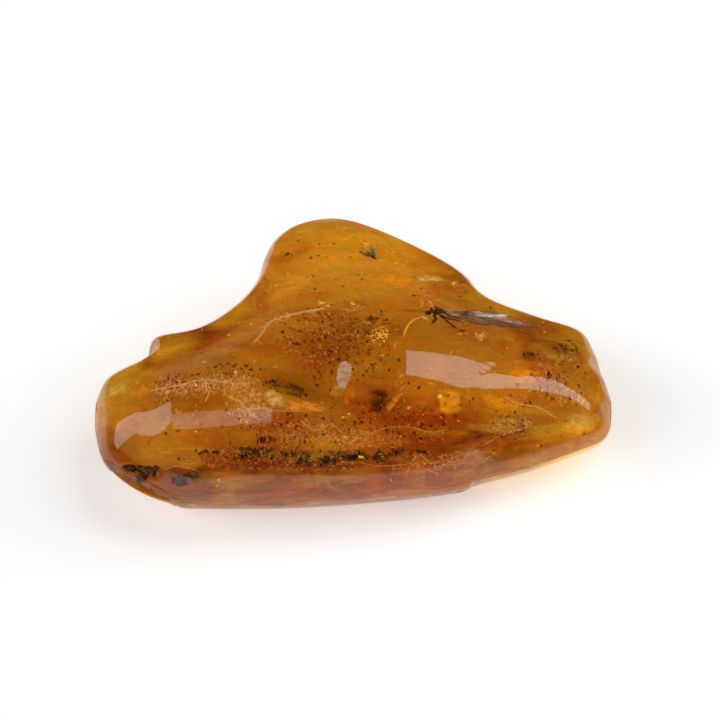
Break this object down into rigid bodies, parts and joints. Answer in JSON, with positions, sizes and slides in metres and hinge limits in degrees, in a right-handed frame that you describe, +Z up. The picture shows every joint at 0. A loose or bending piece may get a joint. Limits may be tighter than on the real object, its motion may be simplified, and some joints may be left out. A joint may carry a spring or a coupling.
{
  "type": "insect in amber",
  "caption": "Polished free-form piece of golden-brown amber lying flat, with a winged insect, a gnat and bark debris sealed in the clear resin.",
  "frame": {"origin": "on the surface that the stone rests on, under the middle of its bounding box", "axes": "+X along the longest way of the stone, +Y towards the crown of its outline, +Z up from the flat it rests on"},
  "size_m": [0.0536, 0.0347, 0.0149],
  "materials": {
    "amber": "polished clear fossil resin, golden to red-brown",
    "insect_shell": "dark brown chitin with brown wings",
    "gnat_shell": "brown chitin",
    "dark_bark": "nearly black crumbled bark",
    "red_bark": "red-brown crumbled bark"
  },
  "bodies": {
    "root": {"amber_upper": "amber", "amber_lower": "amber", "winged_insect": "insect_shell", "gnat": "gnat_shell", "bark_seam": "dark_bark", "bark_clump": "red_bark"}
  },
  "joints": []
}
